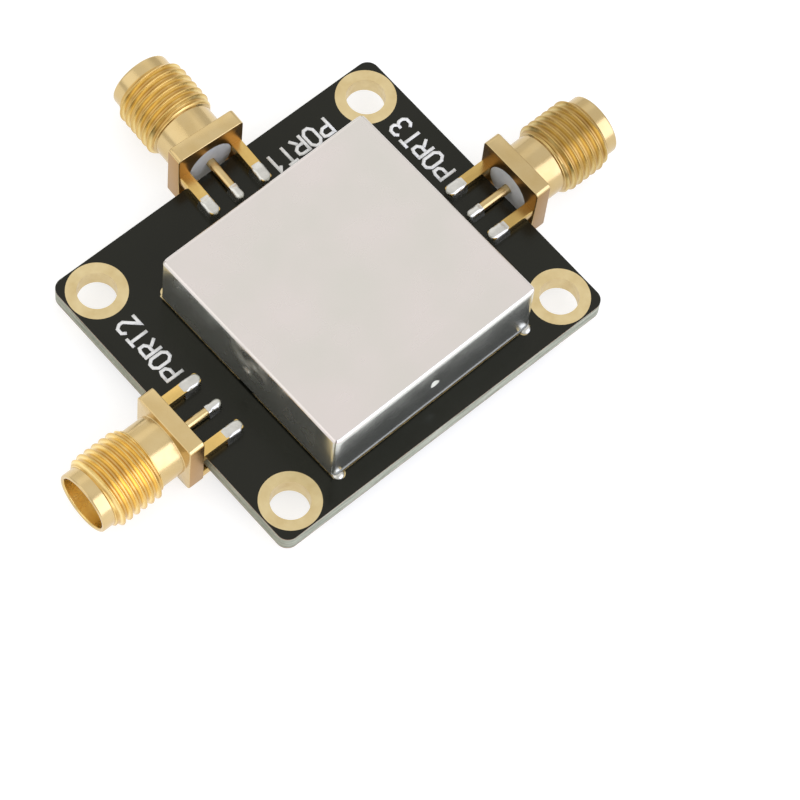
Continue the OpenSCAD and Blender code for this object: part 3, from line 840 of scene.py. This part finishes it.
def columns(flat):
    """Places along one edge of the flat top, closer together near its ends"""
    even = [flat * (2 * i / flat_cells - 1) for i in range(flat_cells + 1)]
    return sorted(even + [end * (flat - c) for c in edge_columns for end in (-1, 1)])


def grown(bm, rim, step):
    """Adds one row of faces to a row of edges and returns the new edges"""
    geom = bmesh.ops.extrude_edge_only(bm, edges=rim)["geom"]
    bmesh.ops.translate(bm, vec=step, verts=[g for g in geom if isinstance(g, bmesh.types.BMVert)])
    return [g for g in geom if isinstance(g, bmesh.types.BMEdge)]


def fold_side(skin, heading, flat, flat_y, bend, roll, next_lift):
    """Adds one side: round its bend and straight down, its ends mitred, seamed and rolled in"""
    side = bmesh.new()
    bend_foot = cover_high.z - bend_r
    verts, edges = wire(side, [(flat, y, bend_foot + bend) for y in columns(flat_y)])
    bent = bmesh.ops.spin(
        side,
        geom=verts + edges,
        cent=(flat, 0, bend_foot),
        axis=(0, 1, 0),
        dvec=(0, 0, 0),
        angle=math.pi / 2,
        steps=bend_steps,
    )
    rim = [g for g in bent["geom_last"] if isinstance(g, bmesh.types.BMEdge)]
    fall = cover_low.z + lead_h - bend_foot
    heights = [bend_foot + fall * i / wall_cells for i in range(wall_cells + 1)]
    heights += [cover_low.z + h for h in lead_rows]
    for above, below in zip(heights, heights[1:]):
        rim = grown(side, rim, (0, 0, below - above))
    seam = seam_w / math.sqrt(2)
    width, lift = roll
    shut, open_angle = seam_opens
    for v in side.verts:
        past = v.co.x - flat
        turn = math.asin(min(1, max(0, past / bend)))
        opened = min(1, max(0, (turn - shut) / (open_angle - shut)))
        near_end = max(0, 1 - (flat_y - abs(v.co.y)) / corner_reach)
        reach = past - opened * seam - next_lift * (past / bend) ** 2
        v.co.y += math.copysign(reach * near_end, v.co.y)
        from_end = max(0, flat_y + past - seam - next_lift - abs(v.co.y))
        v.co.x -= lift * max(0, 1 - from_end / width) ** 2 * min(1, past / bend) ** 2
    bmesh.ops.rotate(side, cent=(0, 0, 0), matrix=Matrix.Rotation(heading, 3, "Z"), verts=side.verts)
    merge(skin, side)


def cover_skin(bm, inset):
    """Adds one skin of the folded sheet about its own middle, that far inside the outer skin"""
    skin = bmesh.new()
    flat_x, flat_y = cover_x / 2 - bend_r, cover_y / 2 - bend_r
    across = columns(flat_x)
    rim = wire(skin, [(across[0], y, cover_high.z - inset) for y in columns(flat_y)])[1]
    for before, after in zip(across, across[1:]):
        rim = grown(skin, rim, (after - before, 0, 0))
    bend = bend_r - inset
    for half_turn in (0, math.pi):
        fold_side(skin, half_turn, flat_x, flat_y, bend, side_roll, front_roll[1])
        fold_side(skin, half_turn + math.pi / 2, flat_y, flat_x, bend, front_roll, side_roll[1])
    bmesh.ops.remove_doubles(skin, verts=skin.verts, dist=coarse_weld)
    merge(bm, skin)


def away(point, centre, outward):
    """How far a point lies from a dimple's centre, or infinity if it isn't on the dimple's wall"""
    off = point - centre
    return off.length if abs(off.dot(outward)) < 2 * sheet_t else math.inf


def press_dimples(bm):
    """Refines the sheet at the middle of each side and presses the dimple in"""
    for quarter in range(4):
        heading = quarter * math.pi / 2
        outward = Vector((math.cos(heading), math.sin(heading), 0))
        centre = outward * (cover_y if quarter % 2 else cover_x) / 2
        centre.z = dimple_z
        near = [f for f in bm.faces if away(f.calc_center_median(), centre, outward) < dimple_cut_r]
        edges = list(dict.fromkeys(e for f in near for e in f.edges))
        bmesh.ops.subdivide_edges(bm, edges=edges, cuts=dimple_cuts, use_grid_fill=True)
        for v in bm.verts:
            gap = away(v.co, centre, outward)
            if gap < sink_reach:
                dent = max(0, 1 - (gap / dimple_r) ** 2) ** dimple_slope * dimple_depth
                v.co -= outward * (dent + sink_depth * math.exp(-((gap / sink_r) ** 2)))


def folded_cover():
    """The whole cover: two skins, joined along the sheet's edge, with dimples and a lead-in"""
    bm = bmesh.new()
    for inset in (0, sheet_t):
        cover_skin(bm, inset)
    bmesh.ops.bridge_loops(bm, edges=[e for e in bm.edges if e.is_boundary])
    bmesh.ops.recalc_face_normals(bm, faces=bm.faces)
    press_dimples(bm)
    for v in bm.verts:
        sway = 0.5 + 0.5 * noise.noise(v.co / wave_l)
        if v.co.z > cover_high.z - sheet_t - slack:
            v.co.z -= waviness * sway
        else:
            v.co.xy -= v.co.xy.normalized() * waviness * sway
        low = max(0, 1 - (v.co.z - cover_low.z) / lead_h)
        if abs(v.co.y) > cover_y / 2 - bend_r:
            spread = low * low / 2 / lead_soft if low < lead_soft else low - lead_soft / 2
            v.co.y += math.copysign(lead_out * spread, v.co.y)
    return bm


tin = new_finish("cover_finish", 0.92)
tin_place = add(tin, "ShaderNodeSeparateXYZ", Vector=own_place(tin)).outputs
# Painted light: the sheet's top is painted lighter and pinker than its walls, and the walls are
# painted greener, as painted reflections. A cloud adds tone that differs at random.
top_painted_light = ramped(tin, tin_place["Z"], 0, 0.6, wall_top * MM, (cover_high.z - 0.1) * MM)
tint = reckon(tin, "ADD", top_painted_light, ramped(tin, cloud(tin, 6, 2), 0, 0.4))
paint(
    tin,
    tint,
    (0, (0.69, 0.71, 0.66)),
    (0.4, (0.74, 0.75, 0.7)),
    (0.6, (0.72, 0.69, 0.645)),
    (1, (0.765, 0.705, 0.68)),
)
from_scuff = add(tin, "ShaderNodeVectorMath")
from_scuff.operation = "DISTANCE"
tin.node_tree.links.new(own_place(tin), from_scuff.inputs[0])
from_scuff.inputs[1].default_value = Vector(scuff_at) * MM
near_scuff = ramped(tin, from_scuff.outputs["Value"], 1, 0, scuff_core_r * MM, scuff_r * MM)
scuff = reckon(tin, "MULTIPLY", near_scuff, ramped(tin, cloud(tin, 1.6, 1), 0, 1, 0.35, 0.6))
rubbed = reckon(tin, "MULTIPLY", scuff, scuff_roughness)
sheen = ramped(tin, cloud(tin, 3, 2), 0.23, 0.29)
front_wall = (-cover_y / 2 * MM, (bend_r - cover_y / 2) * MM)
on_front = ramped(tin, tin_place["Y"], front_gloss, 0, *front_wall)
smooth = reckon(tin, "SUBTRACT", sheen, on_front)
tin.node_tree.links.new(reckon(tin, "ADD", smooth, rubbed), inlet(tin, "Roughness"))
relief(tin, cloud(tin, 3, 1), 0.01)

cover_middle = (cover_low + cover_high) / 2
cover_spin = Matrix.Rotation(cover_turn, 4, "Z")
cover_place = Matrix.Translation((cover_middle.x, cover_middle.y, 0)) @ cover_spin
cover = finished(folded_cover(), "shield_lid", cover_place, tin)
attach(cover, "root")
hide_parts("shield_cover")

# Solder at the shield's feet: four small drops on round pads beside the front and rear walls.
# They ran in under the cover's edge and hold the frame to its pad.
foot_y = 10.2
front_foot = (9.75, 0.5, 0.28)
rear_foot = (9.625, 0.32, 0.1)
drop_cells = (28, 16)
drop_uneven = 0.08

shape = bmesh.new()
for sx in (-1, 1):
    for sy, (foot_x, drop_r, drop_h) in ((-1, front_foot), (1, rear_foot)):
        drop = bmesh.new()
        bmesh.ops.create_uvsphere(drop, u_segments=drop_cells[0], v_segments=drop_cells[1], radius=1)
        lower_half = [v for v in drop.verts if v.co.z < -slack]
        bmesh.ops.delete(drop, geom=lower_half, context="VERTS")
        bmesh.ops.holes_fill(drop, edges=[e for e in drop.edges if e.is_boundary], sides=0)
        middle = Vector((sx * foot_x, sy * foot_y, 0))
        for v in drop.verts:
            v.co.xy *= 1 + drop_uneven * noise.noise(Vector((3 * sx, 5 * sy, 0)) + v.co)
            v.co = middle + v.co * Vector((drop_r, drop_r, drop_h))
        merge(shape, drop)
bmesh.ops.recalc_face_normals(shape, faces=shape.faces)
beside_cover = cover_place @ Matrix.Translation((0, 0, board_top))
feet = finished(shape, "shield_feet_joints", beside_cover, solder, sharp=60)
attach(feet, "root")
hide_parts("shield_solder")

# Printed legends: white ink, screened on the mask as plain strokes. They number the three
# ports and are read from outside each jack.
letter_h = 1.7
letter_w = 0.95
letter_step = 1.3
stroke_w = 0.27
ink_t = 0.02
layer_step = 0.002
inner = stroke_w / 2 / letter_w
under = stroke_w / 2 / letter_h
stem = [(0, 0), (0, 1)]
bowl = [(inner, 1 - under), (0.7, 1 - under), (1, 0.85), (1, 0.6), (0.7, 0.46), (inner, 0.46)]
strokes = {
    "P": [stem, bowl],
    "O": [[(0.3, 0), (0, 0.2), (0, 0.8), (0.3, 1), (0.7, 1), (1, 0.8), (1, 0.2), (0.7, 0), (0.3, 0)]],
    "R": [stem, bowl, [(0.55, 0.46 - under), (1, 0)]],
    "T": [[(0, 1), (1, 1)], [(0.5, 1 - under), (0.5, 0)]],
    "1": [[(0.2, 0.75), (0.55, 1), (0.55, 0)]],
    "2": [[(0, 0.8), (0.25, 1), (0.75, 1), (1, 0.8), (1, 0.6), (0, 0), (1, 0)]],
    "3": [
        [(0, 0.84), (0.25, 1), (0.75, 1), (1, 0.84), (1, 0.68), (0.78, 0.53), (0.4, 0.53)],
        [(0.78, 0.53), (1, 0.38), (1, 0.16), (0.75, 0), (0.25, 0), (0, 0.16)],
    ],
}

ink = new_finish("ink_finish", 0)
paint(ink, cloud(ink, 0.3), (0.3, (0.78, 0.78, 0.77)), (0.6, (0.88, 0.88, 0.87)))
dull(ink, cloud(ink, 0.2), 0.4, 0.6)
relief(ink, cloud(ink, 0.1), 0.004)


def printed(text, name, start, heading):
    """Prints a word of strokes on the board, from the foot of its first letter"""
    shape = bmesh.new()
    for count, letter in enumerate(text):
        for layer, stroke in enumerate(strokes[letter]):
            points = [(count * letter_step + x * letter_w, y * letter_h, 0) for x, y in stroke]
            closed = points[0] == points[-1]
            verts = [shape.verts.new(p) for p in points[: len(points) - closed]]
            pairs = list(zip(verts, verts[1:])) + [(verts[-1], verts[0])] * closed
            edges = [shape.edges.new(pair) for pair in pairs]
            raised = bmesh.ops.extrude_edge_only(shape, edges=edges)["geom"]
            raised = [g for g in raised if isinstance(g, bmesh.types.BMVert)]
            bmesh.ops.translate(shape, vec=(0, 0, ink_t + layer_step * layer), verts=raised)
    place = Matrix.Translation((*start, board_top)) @ Matrix.Rotation(math.radians(heading), 4, "Z")
    word = finished(shape, name, place, ink)
    width = word.modifiers.new("stroke", "SOLIDIFY")
    width.thickness = stroke_w * MM
    width.offset = 0
    width.use_even_offset = True
    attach(word, "root")


printed("PORT1", "rf_legend", (9.9, 12.4), 180)
printed("PORT2", "lo_legend", (-13.1, 2.1), 90)
printed("PORT3", "if_legend", (15.1, 2.1), 90)

# Studio: a plain pale floor under the part, a soft sky and four large lamps, and the camera
# at the photograph's angle. None of it belongs to the part.
floor_z = cad_box[0].z
floor_half = 2
floor_grey = 0.42
floor_glow = 0.7
sky_colour = (1.0, 0.99, 0.97)
sky_strength = 0.74

card_sheet = bmesh.new()
bmesh.ops.create_grid(card_sheet, x_segments=1, y_segments=1, size=floor_half)
bmesh.ops.translate(card_sheet, vec=(0, 0, floor_z), verts=card_sheet.verts)
floor_mesh = to_mesh(card_sheet, "floor")
floor = bpy.data.objects.new("floor", floor_mesh)
bpy.context.collection.objects.link(floor)

card = bpy.data.materials.new("floor_finish")
card.use_nodes = True
tree = card.node_tree
tree.nodes.clear()
diffuse = add(card, "ShaderNodeBsdfDiffuse", Color=(floor_grey, floor_grey, floor_grey, 1))
rays = add(card, "ShaderNodeLightPath").outputs
mirrored = reckon(card, "MAXIMUM", rays["Is Glossy Ray"], rays["Is Transmission Ray"])
seen = reckon(card, "MAXIMUM", rays["Is Camera Ray"], mirrored)
strength = reckon(card, "MULTIPLY", seen, floor_glow)
glow = add(card, "ShaderNodeEmission", Color=(1, 1, 1, 1), Strength=strength)
both = add(card, "ShaderNodeAddShader")
tree.links.new(diffuse.outputs[0], both.inputs[0])
tree.links.new(glow.outputs[0], both.inputs[1])
add(card, "ShaderNodeOutputMaterial", Surface=both.outputs[0])
floor_mesh.materials.append(card)

world = bpy.data.worlds.new("studio")
bpy.context.scene.world = world
world.use_nodes = True
sky = world.node_tree.nodes["Background"]
sky.inputs["Color"].default_value = (*sky_colour, 1)
sky.inputs["Strength"].default_value = sky_strength


def softbox(name, direction, distance, size, radiance, colour=(1, 1, 1)):
    """A square lamp that faces the part from a direction, as bright as radiance says"""
    data = bpy.data.lights.new(name, "AREA")
    data.shape = "SQUARE"
    data.size = size
    data.energy = radiance * math.pi * size * size
    data.color = colour
    lamp = bpy.data.objects.new(name, data)
    towards = Vector(direction).normalized()
    aim = towards.to_track_quat("Z", "Y").to_matrix().to_4x4()
    lamp.matrix_world = Matrix.Translation(towards * distance) @ aim
    bpy.context.collection.objects.link(lamp)


bluish = (0.95, 1, 1.25)
softbox("front_right_lamp", (0.33, -0.83, 0.455), distance=0.5, size=0.6, radiance=1.55, colour=bluish)
softbox("left_lamp", (-0.71, 0.29, 0.64), distance=0.6, size=0.55, radiance=0.55)
softbox("back_lamp", (0.33, 0.8, 0.5), distance=0.6, size=0.55, radiance=0.18)
softbox("rear_lamp", (0.33, 0.29, 0.9), distance=0.6, size=0.8, radiance=0.19)

azimuth = math.radians(-48.607)
elevation = math.radians(63.746)
roll = math.radians(8.367)
view_distance = 307.489
view_target = Vector((-1.78, -10.514, 1.6))
lens_mm = 178.73
sensor_mm = 36
nearest = 0.01
farthest = 10

back = Vector(
    (
        math.sin(azimuth) * math.cos(elevation),
        -math.cos(azimuth) * math.cos(elevation),
        math.sin(elevation),
    )
)
level = Vector((math.cos(azimuth), math.sin(azimuth), 0))
upright = back.cross(level)
right = level * math.cos(roll) + upright * math.sin(roll)
up = upright * math.cos(roll) - level * math.sin(roll)
camera_data = bpy.data.cameras.new("camera")
camera_data.lens = lens_mm
camera_data.sensor_width = sensor_mm
camera_data.clip_start = nearest
camera_data.clip_end = farthest
camera = bpy.data.objects.new("camera", camera_data)
turned = Matrix((right, up, back)).transposed().to_4x4()
camera.matrix_world = Matrix.Translation((view_target + back * view_distance) * MM) @ turned
bpy.context.collection.objects.link(camera)
bpy.context.scene.camera = camera
bpy.context.scene.view_settings.view_transform = "Standard"
